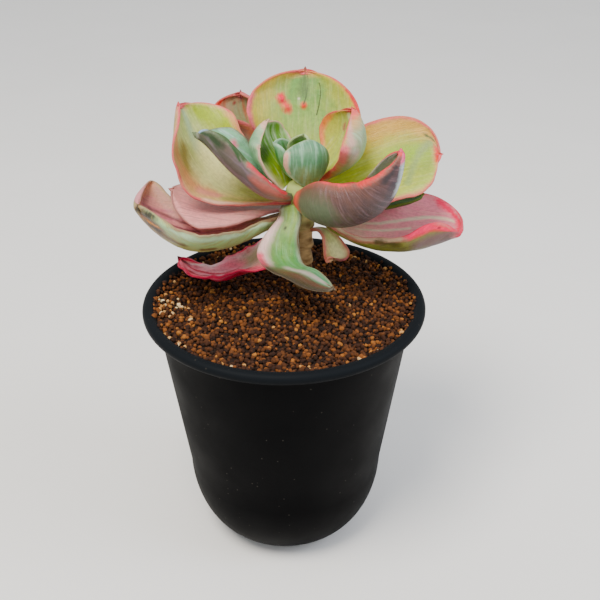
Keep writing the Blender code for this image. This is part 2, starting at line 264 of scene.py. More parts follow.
def laid_out(u, v, half, cup, fold, cup_base, share):
    """How far out and how far up each point of the blade lies from the rib."""
    share = bend(share, u)
    sideways = np.zeros((len(u), len(v)))
    lifted = np.zeros((len(u), len(v)))
    tilt = np.zeros((len(u), len(v)))
    grown = (cup_base + (1 - cup_base) * eased(u / 0.6))[:, None]
    out = np.linspace(0, 1, ARC_STEPS + 1)
    for side, part, cupped in ((1, share, cup[0]), (-1, 1 - share, cup[1])):
        bent = fold * eased(out / 0.25) + bend(cupped, u)[:, None] * out
        angle = np.radians(grown * bent)
        run = np.cumsum(np.cos(angle), axis=1) - np.cos(angle[:, :1])
        climb = np.cumsum(np.sin(angle), axis=1)
        mine = v * side >= 0
        place = np.abs(v[mine]) * ARC_STEPS
        low = np.minimum(place.astype(int), ARC_STEPS - 1)
        rest = place - low
        reach = (half * 2 * part / ARC_STEPS)[:, None]
        sideways[:, mine] = (run[:, low] * (1 - rest) + run[:, low + 1] * rest) * reach * side
        lifted[:, mine] = (climb[:, low] * (1 - rest) + climb[:, low + 1] * rest) * reach
        tilt[:, mine] = angle[:, low] * (1 - rest) + angle[:, low + 1] * rest
    return sideways, lifted, tilt


def half_width(u, width, widest, blunt, flare, base_share):
    opening = np.sin(np.minimum(u / widest, 1) * np.pi / 2) ** flare
    closing = np.maximum(1 - (np.maximum(u - widest, 0) / (1 - widest)) ** blunt, 0) ** 0.5
    share = np.where(u < widest, base_share + (1 - base_share) * opening, closing)
    return np.maximum(width / 2 * share - 0.25, 0.45)


# %% [markdown]
# No leaf is perfectly even. A few long, shallow waves, seeded for each leaf, are added to both
# faces, and they grow toward the margin, where the flesh is thin. Then the loop of every step is
# closed: the inner face from margin to margin, a half-round rim, the outer face back, and the
# other rim. The last steps shrink to the leaf's small point.

# %% Closing a blade


def ripples(u, v, length, width, seed, height):
    rng = np.random.default_rng(seed)
    total = np.zeros((len(u), len(v)))
    for wave in WAVES:
        turn = rng.uniform(0, np.pi)
        phase = rng.uniform(0, 2 * np.pi)
        place = (
            np.cos(turn) * u[:, None] * length + np.sin(turn) * v[None, :] * width / 2
        ) / wave
        total += np.sin(2 * np.pi * place + phase) * wave / WAVES[0]
    return total * height * (0.25 + 0.75 * np.abs(v[None, :]) ** 2) * eased(u / 0.2)[:, None]


def leaf_rings(
    base,
    azimuth,
    length,
    width,
    rise,
    roll=0.0,
    cup=(40.0, 40.0),
    fold=0.0,
    cup_base=0.6,
    share=0.5,
    widest=0.62,
    blunt=2.2,
    flare=1.3,
    base_share=0.3,
    thick=3.0,
    wave=0.0,
    waves=2.0,
    mucro=2.0,
    nodules=(),
    uneven=0.22,
    seed=1,
):
    """Points, faces and kept values of one blade, in millimetres and degrees."""
    u = 1 - (1 - np.linspace(0, 1, ROWS)) ** 1.7
    spread = np.linspace(-1, 1, COLUMNS + 1)
    v = 0.55 * spread + 0.45 * np.sin(spread * np.pi / 2)
    rib, left, facing, forward = midrib(u, base, azimuth, length, rise, roll)
    half = half_width(u, width, widest, blunt, flare, base_share)
    sideways, lifted, tilt = laid_out(u, v, half, cup, fold, cup_base, share)
    crinkle = np.sin(2 * np.pi * (waves * u[:, None] + np.where(v > 0, 0.3, 0.0)[None, :]))
    crinkle *= wave * np.abs(v)[None, :] ** 3 * eased(u / 0.3)[:, None]
    crinkle += ripples(u, v, length, width, seed, uneven)
    for at_u, at_v, radius, height in nodules:
        away = np.hypot((u[:, None] - at_u) * length, (v[None, :] - at_v) * width / 2)
        crinkle += height * np.exp(-((away / radius) ** 2))
    sideways -= np.sin(tilt) * crinkle * np.sign(v)[None, :]
    lifted += np.cos(tilt) * crinkle
    upper = rib[:, None] + left[:, None] * sideways[:, :, None]
    upper += facing[:, None] * lifted[:, :, None]

    normal = unit(np.cross(np.gradient(upper, axis=0), np.gradient(upper, axis=1)))
    middle = thick * (0.75 + 0.25 * eased(u / 0.25)) * (1 - 0.55 * eased((u - 0.6) / 0.4))
    depth = EDGE + (middle[:, None] - EDGE) * (1 - np.abs(v)[None, :] ** 1.6) ** 0.8
    lower = upper - normal * depth[:, :, None]

    def rim(at, beside):
        """The half-round edge from the inner face to the outer one."""
        centre = (upper[:, at] + lower[:, at]) / 2
        up = (upper[:, at] - lower[:, at]) / 2
        outward = unit(upper[:, at] - upper[:, beside]) * EDGE / 2
        turns = np.pi * np.arange(1, RIM_STEPS + 1) / (RIM_STEPS + 1)
        return np.stack([centre + up * np.cos(t) + outward * np.sin(t) for t in turns], 1)

    right_rim = rim(-1, -2)
    left_rim = rim(0, 1)[:, ::-1]
    rings = np.concatenate([upper, right_rim, lower[:, ::-1], left_rim], axis=1)
    # A short foot that runs back into the crown, and the small point at the tip.
    middle_of = rings.mean(axis=1, keepdims=True)
    foot = middle_of[0] + (rings[0] - middle_of[0]) * 0.8 - forward[0] * 1.2
    point = []
    for t in (0.25, 0.5, 0.75, 0.92):
        size = (1 - t) ** 0.9
        point.append(middle_of[-1] + (rings[-1] - middle_of[-1]) * size + forward[-1] * mucro * t)
    rings = np.concatenate([[foot], rings, point])
    ends = np.stack([foot.mean(axis=0), middle_of[-1, 0] + forward[-1] * mucro])

    # What each point remembers.
    count = len(point)
    rows_u = np.concatenate([[0.0], u, 1 + 0.01 * np.arange(1, count + 1)])
    rows_half = np.concatenate([[half[0]], half, np.zeros(count)])
    loop_v = np.concatenate([v, np.ones(RIM_STEPS), v[::-1], -np.ones(RIM_STEPS)])
    arc = np.arange(1, RIM_STEPS + 1) / (RIM_STEPS + 1)
    loop_outer = np.concatenate([0 * v, arc, 0 * v + 1, arc[::-1]])
    along = np.repeat(rows_u[:, None], len(loop_v), axis=1)
    across = np.repeat(loop_v[None, :], len(rows_u), axis=0)
    across[-count:] *= 0.05
    outer = np.repeat(loop_outer[None, :], len(rows_u), axis=0)
    rows_share = bend(share, np.minimum(rows_u, 1.0))[:, None]
    part = np.where(across > 0, rows_share, 1 - rows_share) * 2
    beside = (1 - np.abs(across)) * rows_half[:, None] * part
    ahead = (1 - along) * length * 0.9
    margin = np.maximum(np.minimum(beside, ahead), 0.0)
    flat = np.stack([along * length, across * rows_half[:, None] * part, outer * 30.0], -1)

    def with_ends(values, final):
        body = values.reshape(-1, *values.shape[2:])
        return np.concatenate([body, [body[0]], [final]])

    kept = {
        "along": with_ends(along, 1.05),
        "across": with_ends(across, 0.0),
        "outer": with_ends(outer, 0.5),
        "margin": with_ends(margin, 0.0),
        "flat": with_ends(flat, flat[-1, 0]),
    }
    points = np.concatenate([rings.reshape(-1, 3), ends])
    return points, closed_rings(rings), kept


# %% [markdown]
# ## The finish of a leaf
# The skin is a living cuticle under a thin wax bloom: satin, a little translucent, and coloured
# unevenly. Green flesh shows through in the middle, sun turns the margins yellow and the rim
# coral, and the variegation adds pink and cream streaks that run along the blade. The skin's
# colours are mixed from what each point remembers, and noise in real millimetres breaks up
# every edge so that nothing looks painted on. Light scatters about 1.2 mm into such flesh.

# %% Painting a leaf


def leaf_skin(
    name,
    inner,
    sides,
    outer,
    outer_sides,
    band,
    rim,
    rim_width,
    marks,
    length,
    width,
    streak=0.5,
    streak_tint="C98F7E",
    outer_streak="7E6A70",
    streak_grain=(0.07, 0.65),
    rough=0.45,
    wrinkle=0.25,
):
    """inner and outer are three colours each, foot to tip, and sides are (left, right)."""
    material, tree, shader = new_material(name)
    flat = add(tree, "Attribute", out="Vector", attribute_name="flat")
    along, across, face, margin = (
        add(tree, "Attribute", out="Fac", attribute_name=key)
        for key in ("along", "across", "outer", "margin")
    )

    # Patches about 8 mm, 4 mm and 1.2 mm across and pores of 0.5 mm. The streaks are 1.5 mm and
    # 0.5 mm wide where a leaf doesn't ask for others.
    patch, blotch, fleck, pores = (
        add(tree, "TexNoise", {"Vector": flat, "Scale": scale, "Detail": detail})
        for scale, detail in ((0.12, 2.0), (0.25, 4.0), (0.8, 4.0), (2.2, 3.0))
    )
    lines, hairs = (
        add(tree, "TexNoise", {"Vector": drawn, "Scale": 1.0, "Detail": 3.0})
        for drawn in (
            add(tree, "Mapping", {"Vector": flat, "Scale": (*grain, 1.0)})
            for grain in (streak_grain, (streak_grain[0] * 2, streak_grain[1] * 3))
        )
    )

    # Three colours along the blade and one toward each side, with the steps between them pushed
    # about by the patches. Over them goes the variegation, as thin lines that have one tint on
    # the inner face and another on the outer face.
    pushed = add(tree, "Math", (blotch, 0.5, -0.25), operation="MULTIPLY_ADD")
    reach, sideways = (
        add(tree, "Math", (way, pushed), operation="ADD") for way in (along, across)
    )
    to_left = add(tree, "MapRange", (sideways, 0.3, 0.95))
    to_right = add(tree, "MapRange", (sideways, -0.3, -0.95))
    shown = add(tree, "MapRange", (lines, 0.48, 0.68, 0.0, streak))
    faces = []
    for tones, (left, right), line_tint in (
        (inner, sides, streak_tint),
        (outer, outer_sides, outer_streak),
    ):
        tone = add(tree, "ValToRGB", [reach], stops=list(zip((0.1, 0.5, 0.9), tones, strict=True)))
        for amount, tint in ((to_left, left), (to_right, right), (shown, line_tint)):
            tone = add(tree, "Mix", {0: amount, 6: tone, 7: colour(tint)}, 2, data_type="RGBA")
        faces.append(tone)
    skin = add(tree, "Mix", {0: face, 6: faces[0], 7: faces[1]}, 2, data_type="RGBA")

    # Toward the margin the green gives way to a warm band, and the edge itself is sun-burnt.
    # Both wander in width, and the burnt edge comes and goes.
    wander = (blotch, -3.0 * rim_width, 1.5 * rim_width)
    wander = add(tree, "Math", wander, operation="MULTIPLY_ADD")
    near = add(tree, "Math", (margin, wander), operation="ADD")
    warm = add(tree, "MapRange", (near, 0.8 * rim_width, 4.0 * rim_width, 0.75, 0.0))
    edge = add(tree, "MapRange", (near, 0.35 * rim_width, 1.3 * rim_width, 1.0, 0.0))
    patchy = add(tree, "MapRange", (patch, 0.38, 0.55, 0.35, 1.0))
    burnt = add(tree, "Math", (edge, patchy), operation="MULTIPLY")
    layers = [(warm, band), (burnt, rim)]

    # Marks of this one leaf, their edges broken by the flecks and the lines. Each covers what
    # lies within its radius of its path, and so the nearest point of every stretch is sought.
    place = add(tree, "CombineXYZ", [
        add(tree, "Math", (share, size), operation="MULTIPLY")
        for share, size in ((along, length), (across, width / 2))
    ])
    grain = add(tree, "Math", (fleck, lines), operation="ADD")
    broken = add(tree, "Math", (grain, 1.4, -1.4), operation="MULTIPLY_ADD")
    on_face = {
        "outer": add(tree, "MapRange", (face, 0.4, 0.6)),
        "inner": add(tree, "MapRange", (face, 0.4, 0.6, 1.0, 0.0)),
    }
    for tint, mark_face, radius, *path in marks:
        ends = [(u * length, v * width / 2, 0.0) for u, v in path]
        away = add(tree, "VectorMath", (place, ends[0]), 1, operation="DISTANCE")
        for a, b in zip(ends, ends[1:], strict=False):
            run = np.subtract(b, a)
            from_a = add(tree, "VectorMath", (place, a), operation="SUBTRACT")
            share = add(tree, "VectorMath", (from_a, run / (run @ run)), 1, operation="DOT_PRODUCT")
            share = add(tree, "Clamp", [share])
            foot = add(tree, "VectorMath", {0: run, "Scale": share}, operation="SCALE")
            beside = add(tree, "VectorMath", (from_a, foot), 1, operation="DISTANCE")
            away = add(tree, "Math", (away, beside), operation="MINIMUM")
        loose = (broken, min(radius, 1.5) * 0.8, away)
        loose = add(tree, "Math", loose, operation="MULTIPLY_ADD")
        cover = add(tree, "MapRange", (loose, radius * 0.3, radius * 1.5, 0.88, 0.0))
        layers.append((add(tree, "Math", (cover, on_face[mark_face]), operation="MULTIPLY"), tint))
    for amount, tint in layers:
        skin = add(tree, "Mix", {0: amount, 6: skin, 7: colour(tint)}, 2, data_type="RGBA")

    # Fine lines and mottling, as in any living skin.
    mottled = add(tree, "MapRange", (fleck, 0.3, 0.7, 0.86, 1.1))
    lined = add(tree, "MapRange", (hairs, 0.3, 0.7, 0.9, 1.08))
    value = add(tree, "Math", (mottled, lined), operation="MULTIPLY")
    fine = add(tree, "Math", (hairs, pores), operation="ADD")
    relief = add(tree, "Math", (lines, 1.2, fine), operation="MULTIPLY_ADD")
    bump = {"Height": relief, "Strength": 0.6, "Distance": wrinkle * MM}
    feed(tree, shader, {
        "Base Color": add(
            tree, "HueSaturation", {"Value": value, "Saturation": 1.16, "Color": skin}
        ),
        "Roughness": add(tree, "MapRange", (fleck, 0.3, 0.7, rough - 0.08, rough + 0.1)),
        "Normal": add(tree, "Bump", bump),
        "IOR": 1.45,
        "Subsurface Weight": 0.12,
        "Subsurface Radius": (1.0, 0.6, 0.3),
        "Subsurface Scale": 0.0012,
    })
    return material


# %% [markdown]
# ## The leaves
# Each leaf is one call: first its form, in millimetres and degrees, then its looks. The marks
# are what makes this one plant: a patch of green at a tip, a pink fold, a scratch. Each mark is
# a soft stroke: its colour, its face, its radius in millimetres, and the points of its path in
# shares of the blade, how far along and how far across. There 1 is the left margin seen from
# the stem.

# %% Dressing one leaf
dressed = []


def dressed_leaf(node, form, looks, marks=(), uneven=0.22):
    dressed.append(node)
    points, faces, kept = leaf_rings(seed=len(dressed) + 10, uneven=uneven, **form)
    size = {key: form[key] for key in ("length", "width")}
    skin = leaf_skin(node.replace("leaf", "waxy_skin"), marks=marks, **size, **looks)
    piece(node.replace("leaf", "blade"), points, faces, skin, node, kept)


# %% The large round leaf at the back
dressed_leaf("leaf_back", dict(
    base=(7.8, 20.6, 139.5), azimuth=90, length=43.5, width=48, rise=(30, 55, 65),
    roll=(-4, 2, -12), cup=(65, 15), cup_base=0.4, share=0.56, widest=0.57, blunt=1.9, flare=1.9,
    base_share=0.1,
    nodules=((0.76, 0.39, 1.4, 1.6), (0.69, 0.29, 1.3, 1.4), (0.71, 0.02, 1.1, 1.3)),
), dict(
    inner=("A8BC50", "93AC5C", "749A58"), sides=("D4BC64", "BCB858"),
    outer=("9DB37C", "8FA88A", "8E9C70"), outer_sides=("A9A070", "A9A070"), band="DCA868",
    rim="E67C80", rim_width=0.6, streak=0.3, streak_tint="C5C98E",
), [
    ("F04C6C", "inner", 1.7, (0.78, 0.42), (0.75, 0.38)),
    ("F0686C", "inner", 1.6, (0.71, 0.31), (0.67, 0.26)),
    ("E85A5C", "inner", 1.3, (0.71, 0.02)),
    ("EFE6CC", "inner", 0.5, (0.77, 0.1)),
    ("34421E", "inner", 0.3, (0.97, -0.12), (0.84, -0.05), (0.72, 0.02)),
    ("34421E", "inner", 0.3, (0.9, -0.42), (0.78, -0.32), (0.63, -0.21)),
    ("E05C64", "inner", 1.0, (0.82, -0.97), (0.66, -0.98)),
    ("6C2C38", "inner", 1.3, (1.01, 0.0), (1.05, 0.0)),
    ("6C2C38", "outer", 1.3, (1.01, 0.0), (1.05, 0.0)),
    ("5C7444", "inner", 3.0, (0.93, 0.0), (0.84, 0.02)),
    ("E8808C", "inner", 1.9, (0.74, 0.98), (0.4, 0.98)),
])
dressed_leaf("leaf_back_left", dict(
    base=(2.3, 22.4, 139.4), azimuth=(118, 125, 110), length=46.5, width=28, rise=(18, 23, 88),
    roll=(35, 35, -35), cup=(62, 75), cup_base=0.5, share=0.55, widest=0.72, blunt=4.2, flare=1.6,
    base_share=0.24,
), dict(
    inner=("A8B86C", "98A070", "8C8868"), sides=("C88070", "94886C"),
    outer=("9DB37C", "8C8A70", "94695A"), outer_sides=("B8705C", "B8705C"), band="B47C64",
    rim="CC7878", rim_width=0.6, streak=0.8, streak_tint="A8604C",
), [
    ("5C2030", "inner", 1.8, (0.98, 0.0), (1.05, 0.0)),
    ("5C2030", "outer", 1.8, (0.98, 0.0), (1.05, 0.0)),
    ("7C2A2C", "inner", 0.8, (0.94, 0.22)),
    ("D8504C", "inner", 2.0, (0.95, 0.9), (0.9, 0.95)),
])

# %% The large cupped leaf at the upper left, and the folded one in front of it
dressed_leaf("leaf_upper_left", dict(
    base=(2.0, 16.5, 134.6), azimuth=(160, 160, 166), length=58, width=42.5, rise=(-12, 37, 76),
    roll=(-12, -12, -6), cup=((17, 7, 42), (46, 125, 4)), fold=5, cup_base=1.0, share=0.54,
    widest=0.59, blunt=3.7, flare=2.2, base_share=0.1,
), dict(
    inner=("B8BC68", "DCDCA0", "B0BC78"), sides=("D0A878", "ACB454"),
    outer=("93AC7C", "8FA490", "8E9A70"), outer_sides=("B89A60", "A9A870"), band="E0A88C",
    rim="E47C80", rim_width=0.65, streak=0.35, streak_tint="DAD8A8",
), [
    ("98AC28", "inner", 4.6, (0.9, -0.55), (0.78, -0.68)),
    ("E3B084", "inner", 1.6, (0.8, -0.93), (0.64, -0.93)),
    ("A8BC98", "inner", 2.0, (0.96, -0.1), (0.86, -0.03), (0.72, 0.05)),
    ("9C8850", "inner", 2.8, (0.78, 0.42), (0.66, 0.66)),
    ("D89C78", "inner", 2.6, (0.9, 0.75), (0.6, 0.8), (0.45, 0.66)),
    ("D9988C", "inner", 2.2, (0.5, 0.75), (0.42, 0.66)),
    ("A8A468", "inner", 1.6, (0.36, 0.72), (0.14, 0.6)),
    ("E4E0A8", "inner", 5.0, (0.68, -0.1), (0.46, 0.1)),
    ("B86470", "outer", 0.7, (0.5, 1.0), (0.3, 1.0)),
    ("E8C4B0", "inner", 1.3, (0.44, 0.95), (0.1, 0.9)),
    ("6C2C38", "inner", 1.3, (1.01, 0.0), (1.05, 0.0)),
])
# The folded leaf's outer face and the dark green marks on it are partly its own colour and partly
# painted shade, where that face turns down away from the light.
dressed_leaf("leaf_inner_left", dict(
    base=(2.0, 12.3, 138.0), azimuth=(230, 186, 170), length=43, width=28, rise=(12, 45, 28),
    roll=(0, 6, 32), cup=(87, 45), cup_base=0.8, share=0.28, widest=0.8, blunt=1.3, flare=0.8,
    base_share=0.18,
), dict(
    inner=("8FB484", "84B08C", "7CA87C"), sides=("8FB89C", "84B090"),
    outer=("98705C", "585450", "384428"), outer_sides=("685450", "584C48"), band="8C947C",
    rim="6C7858", rim_width=0.35, streak=0.7, streak_tint="A9C4BC", outer_streak="7C6C74",
), [
    ("1C3814", "outer", 2.4, (0.97, 0.85), (0.84, 0.7)),
    ("344C24", "outer", 1.2, (0.86, 0.97), (0.62, 0.97)),
    ("E0606C", "outer", 1.2, (0.55, 0.97), (0.4, 0.99), (0.14, 0.99)),
    ("E05858", "inner", 1.0, (0.6, 0.9), (0.4, 0.95), (0.14, 0.95)),
    ("2C4A22", "outer", 0.8, (0.73, 0.97), (0.64, 0.8)),
    ("D9788C", "inner", 1.4, (0.7, -0.7), (0.66, -0.66)),
    ("9CB4D0", "outer", 0.9, (1.0, 0.9), (0.96, 1.0)),
    ("B87068", "outer", 2.2, (0.45, 0.75), (0.1, 0.7)),
])

# %% The leaves at the right
dressed_leaf("leaf_front_right", dict(
    base=(7.0, 7.8, 136.4), azimuth=(-54, -22, 29), length=54.5, width=36, rise=(-15, 32, 92),
    roll=(-10, -17, -7), cup=(98, 117), cup_base=1.0, widest=0.3, blunt=1.3, flare=0.8,
    base_share=0.42,
), dict(
    inner=("A9B868", "8FA47C", "93A88C"), sides=("B8A46C", "9CAC84"),
    outer=("5C6444", "50403C", "38303A"), outer_sides=("6C4C40", "64443C"), band="9C6054",
    rim="E4686C", rim_width=0.7, streak_tint="9CB0A8", streak_grain=(1.1, 0.1),
    outer_streak="7C6468",
), [
    ("DE7468", "outer", 2.4, (0.03, -0.8), (0.06, -0.4)),
    ("55624A", "outer", 4.0, (0.16, -0.55), (0.34, -0.5)),
    ("2C282C", "outer", 1.8, (0.84, -0.72), (0.92, -0.7)),
    ("B8C4C4", "outer", 1.8, (0.78, -0.1), (0.97, -0.45)),
    ("E8688C", "outer", 1.3, (0.97, -0.5), (1.04, 0.0)),
    ("B4BCAC", "inner", 4.0, (0.75, 1.0), (0.88, 0.95), (0.96, 0.9)),
    ("E0687C", "inner", 1.4, (0.97, -0.4), (0.99, 0.2)),
    ("DE6060", "outer", 1.6, (0.7, -0.95), (0.86, -0.95)),
])
dressed_leaf("leaf_upper_right", dict(
    base=(12.1, 18.2, 137.6), azimuth=(1, 11, -4), length=47, width=38, rise=(16, 17, 4),
    roll=(10, 26, 33), cup=(40, 25), share=0.47, widest=0.47, blunt=3.8, flare=1.9,
    base_share=0.14,
), dict(
    inner=("B4BE58", "A8AC48", "90A050"), sides=("CCA050", "B4C068"),
    outer=("9DB37C", "93A982", "8E9C70"), outer_sides=("A9A070", "A9A070"), band="DCA084",
    rim="E47C80", rim_width=0.7, streak=0.3, streak_tint="C9CC90",
), [
    ("D0A868", "inner", 2.8, (0.58, 0.8), (0.78, 0.8), (0.92, 0.74)),
    ("94B048", "inner", 5.0, (0.7, 0.1), (0.84, 0.1)),
    ("8C9C64", "inner", 1.6, (0.96, 0.5), (0.84, 0.0), (0.68, -0.6)),
    ("3C5428", "inner", 1.1, (0.97, 0.72), (0.93, 0.66)),
    ("9C2430", "inner", 0.7, (1.0, 0.3)),
    ("E2605C", "inner", 1.0, (0.99, 0.5), (0.99, -0.6)),
])
dressed_leaf("leaf_lower_right", dict(
    base=(12.3, 11.3, 132.0), azimuth=(-7, -8, -20), length=55, width=42.5, rise=(-42, -5, 29),
    roll=(-2, 5, -25), cup=(43, 71), share=0.67, widest=0.75, blunt=2.9, base_share=0.12,
), dict(
    inner=("D8C4A4", "E0A0A0", "DC8C98"), sides=("DC8C98", "F0B4B8"),
    outer=("8C9840", "707038", "5C4040"), outer_sides=("98A050", "807C40"), band="DC8488",
    rim="E26070", rim_width=0.6, streak=0.35, streak_tint="DDB0A0", outer_streak="54483C",
), [
    ("C8B0A0", "inner", 1.2, (0.2, -0.5), (0.5, -0.45), (0.85, -0.35)),
    ("D8CCB0", "inner", 0.7, (0.3, 0.4), (0.46, 0.42), (0.7, 0.55), (0.92, 0.68)),
    ("D8CCB0", "inner", 0.6, (0.3, 0.2), (0.46, 0.25), (0.66, 0.34)),
    ("C4B494", "outer", 1.5, (0.1, -0.97), (0.62, -0.97)),
    ("CCB8A0", "inner", 1.5, (0.1, -0.95), (0.62, -0.93)),
    ("FF4C70", "outer", 2.2, (0.72, -0.97), (0.86, -0.93), (0.96, -0.8)),
    ("FF5070", "inner", 1.8, (0.72, -0.9), (0.86, -0.85), (0.96, -0.6)),
    ("F05870", "inner", 1.6, (0.84, 0.93), (0.96, 0.8), (0.99, 0.2)),
    ("4C4420", "outer", 1.8, (0.46, -0.9), (0.6, -0.8)),
    ("3C2A20", "outer", 0.6, (0.93, -0.85)),
    ("6C5050", "outer", 3.2, (0.76, -0.6), (0.96, -0.5)),
], uneven=0.3)
# This leaf lies in the shade of its neighbours; its deep dark green is partly its own colour and
# partly painted shade.
dressed_leaf("leaf_shaded_right", dict(
    base=(11.9, 16.7, 134.75), azimuth=8, length=39.6, width=24, rise=(-11, 0, 5), cup=(25, 25),
    base_share=0.22,
), dict(
    inner=("547C04", "386400", "2C5400"), sides=("386400", "386400"),
    outer=("7A8A60", "5F7048", "4F6040"), outer_sides=("5F7048", "5F7048"), band="385400",
    rim="506400", rim_width=0.4, streak_tint="244000", rough=0.8,
))

# %% [markdown]
# Below them hang the older leaves. They have coloured most: pink faces, tan where the skin has
# corked, and one that has shrivelled to a red ribbon over the pot's edge.

# %% The two pink leaves at the lower left
dressed_leaf("leaf_lower_left_front", dict(
    base=(1.0, 14.6, 129.2), azimuth=(183, 192, 193), length=61, width=45.5, rise=(-24, 1, 68),
    roll=(21, 2, 24), cup=((54, 55, 8), (71, 57, 70)), share=(0.46, 0.72, 0.28), widest=0.84,
    blunt=3.5, flare=1.4, base_share=0.15,
), dict(
    inner=("D8AC9C", "DC989C", "CC8C90"), sides=("E0B0A8", "BC8C80"),
    outer=("98A850", "A4A458", "805C38"), outer_sides=("A8C898", "906C40"), band="A8A070",
    rim="9C7C64", rim_width=0.4, streak=0.7, streak_tint="B0687C", outer_streak="A58C54",
), [
    ("B88C7C", "inner", 2.2, (0.9, -0.86), (0.78, -0.88), (0.6, -0.9)),
    ("7A4C50", "inner", 1.0, (0.88, -0.5), (0.74, -0.62), (0.6, -0.62)),
    ("7A4C50", "inner", 0.9, (0.82, -0.3), (0.7, -0.4), (0.56, -0.4)),
    ("E0A890", "inner", 2.4, (0.97, -0.7), (0.94, -0.9)),
    ("D8A080", "outer", 2.2, (0.97, -0.8), (0.92, -0.95)),
    ("D8949C", "outer", 1.2, (1.0, -0.6), (0.99, -1.0)),
    ("BCD4B0", "outer", 1.5, (0.86, 0.9), (0.6, 0.92), (0.15, 0.9)),
    ("4C3420", "outer", 3.4, (0.99, 0.7), (0.95, 0.6), (0.84, 0.4)),
    ("7C5440", "outer", 2.0, (0.97, 0.3), (0.88, 0.6)),
    ("1C1410", "outer", 1.2, (1.0, 0.0), (0.97, 0.9)),
    ("281810", "outer", 1.1, (0.92, 0.2), (0.86, 0.5)),
    ("D08844", "outer", 0.8, (0.93, 0.35), (0.9, 0.6)),
    ("644424", "outer", 1.8, (0.82, 0.5), (0.72, 0.6)),
    ("6C4828", "outer", 1.1, (0.58, 0.55), (0.5, 0.6)),
], uneven=0.35)
dressed_leaf("leaf_lower_left_back", dict(
    base=(1.5, 17.7, 131.4), azimuth=(170, 178, 184), length=44, width=32, rise=(-11, 8, 24),
    roll=(6, 0, -7), cup=(0, 5), share=0.7, widest=0.72, blunt=1.6, flare=1.8, base_share=0.2,
    thick=2.2,
), dict(
    inner=("D4B8A8", "E4A8A4", "E09C9C"), sides=("E8A8A4", "D49C9C"),
    outer=("8CA05C", "8A8A54", "8A7A54"), outer_sides=("8A7A54", "8A7A54"), band="D09C98",
    rim="B07C78", rim_width=0.4, streak=0.8, streak_tint="B47C80",
), [
    ("C88C88", "inner", 2.4, (0.98, -0.6), (0.98, 0.5)),
    ("E0A09C", "inner", 3.0, (0.9, 0.0), (0.7, 0.2)),
])

# %% The leaves that droop over the soil
dressed_leaf("leaf_front_drooping", dict(
    base=(3.7, 9.2, 134.3), azimuth=(-67, -122, -106, -66, -33, -31, -19), length=40, width=19.5,
    rise=(-59, -41, -65, -22, 4, -27, -24), roll=(4, -11, -10), cup=(-4, 6), share=0.28,
    widest=0.7, flare=1.8, base_share=0.39,
), dict(
    inner=("8CA45C", "649454", "548460"), sides=("649868", "7C8464"),
    outer=("93A98A", "84705C", "64483C"), outer_sides=("6C4C34", "7A6448"), band="90907C",
    rim="6C5C48", rim_width=0.4, streak=0.3, streak_tint="94BC98",
), [
    ("F0CCC8", "inner", 2.0, (0.15, -0.9), (0.35, -0.85), (0.52, -0.85)),
    ("E2647C", "inner", 1.2, (0.46, -0.94), (0.54, -0.96)),
    ("16160E", "inner", 0.7, (0.21, -0.31)),
    ("B4A49C", "inner", 1.5, (0.62, -0.35), (0.76, -0.2), (0.95, 0.0)),
    # The next two dark marks cover the turned-under lower edge: partly its brown, mostly painted
    # shade.
    ("2C2010", "inner", 4.4, (0.64, -1.0), (0.8, -0.95), (0.95, -0.8)),
    ("5C3C30", "inner", 2.2, (0.66, -0.7), (0.8, -0.58), (0.96, -0.5)),
    ("5A3424", "inner", 1.3, (0.97, 0.0), (1.0, 0.0)),
])
dressed_leaf("leaf_front_small", dict(
    base=(11.0, 12.1, 125.1), azimuth=(0, -19, -13), length=21, width=10.5,
    rise=(12, -38, -57, -65, -200), roll=(-24, 30, 35), cup=(4, -5), share=0.28, widest=0.85,
    blunt=2.9, flare=0.8, base_share=0.22, thick=2.2,
), dict(
    inner=("B0AC68", "E0E0A4", "E8E0AC"), sides=("E4E4A8", "B0AC70"),
    outer=("A9B37C", "A99A6A", "A9806A"), outer_sides=("A9906A", "A9906A"), band="D0A080",
    rim="CC8074", rim_width=0.7, streak=0.3, streak_tint="DCD8AC",
), [
    ("D8808C", "inner", 1.0, (0.88, -0.9), (0.92, 0.0), (0.88, 0.9)),
])
dressed_leaf("leaf_withered", dict(
    base=(1.8, 14.0, 122.6), azimuth=(183, 197, 176, 168, 137), length=49.5, width=19.5,
    rise=(-46, -37, -22, -3, 30), roll=(-33, -3, -4), cup=(37, 16), share=0.53, widest=0.43,
    blunt=1.3, flare=0.8, base_share=0.26, thick=2.0, wave=0.7, waves=2.4,
), dict(
    inner=("C8B078", "FFBCC8", "FFA0B0"), sides=("F8607C", "FFD0D8"),
    outer=("A9986A", "E0586C", "B83048"), outer_sides=("D8485C", "D8485C"), band="FF98A8",
    rim="F04C68", rim_width=0.5, streak_tint="B83C54", outer_streak="E8788C",
    streak_grain=(0.2, 0.5), rough=0.42, wrinkle=1.2,
), [
    ("4C0C18", "inner", 2.8, (0.97, -0.3), (1.04, 0.0)),
    ("34080E", "outer", 2.4, (0.95, 0.3), (1.04, 0.0)),
    ("B8A880", "inner", 4.6, (0.05, 0.0), (0.4, -0.3)),
    ("A79654", "outer", 3.2, (0.1, 0.0), (0.36, -0.2)),
    ("FFDCE0", "inner", 1.6, (0.92, -0.6), (0.8, -0.8), (0.68, -0.85)),
    ("D82C48", "inner", 1.0, (0.9, 0.0), (0.7, 0.15), (0.5, 0.1)),
    ("FF90A4", "inner", 3.0, (0.64, -0.6), (0.48, -0.2)),
    ("A8302C", "inner", 1.2, (0.86, 0.5), (0.6, 0.7), (0.4, 0.6)),
], uneven=0.8)

# %% [markdown]
# The young leaves stand close round the heart. They are small, upright and still pale, with
# more of the blue-green bloom on their outer faces.

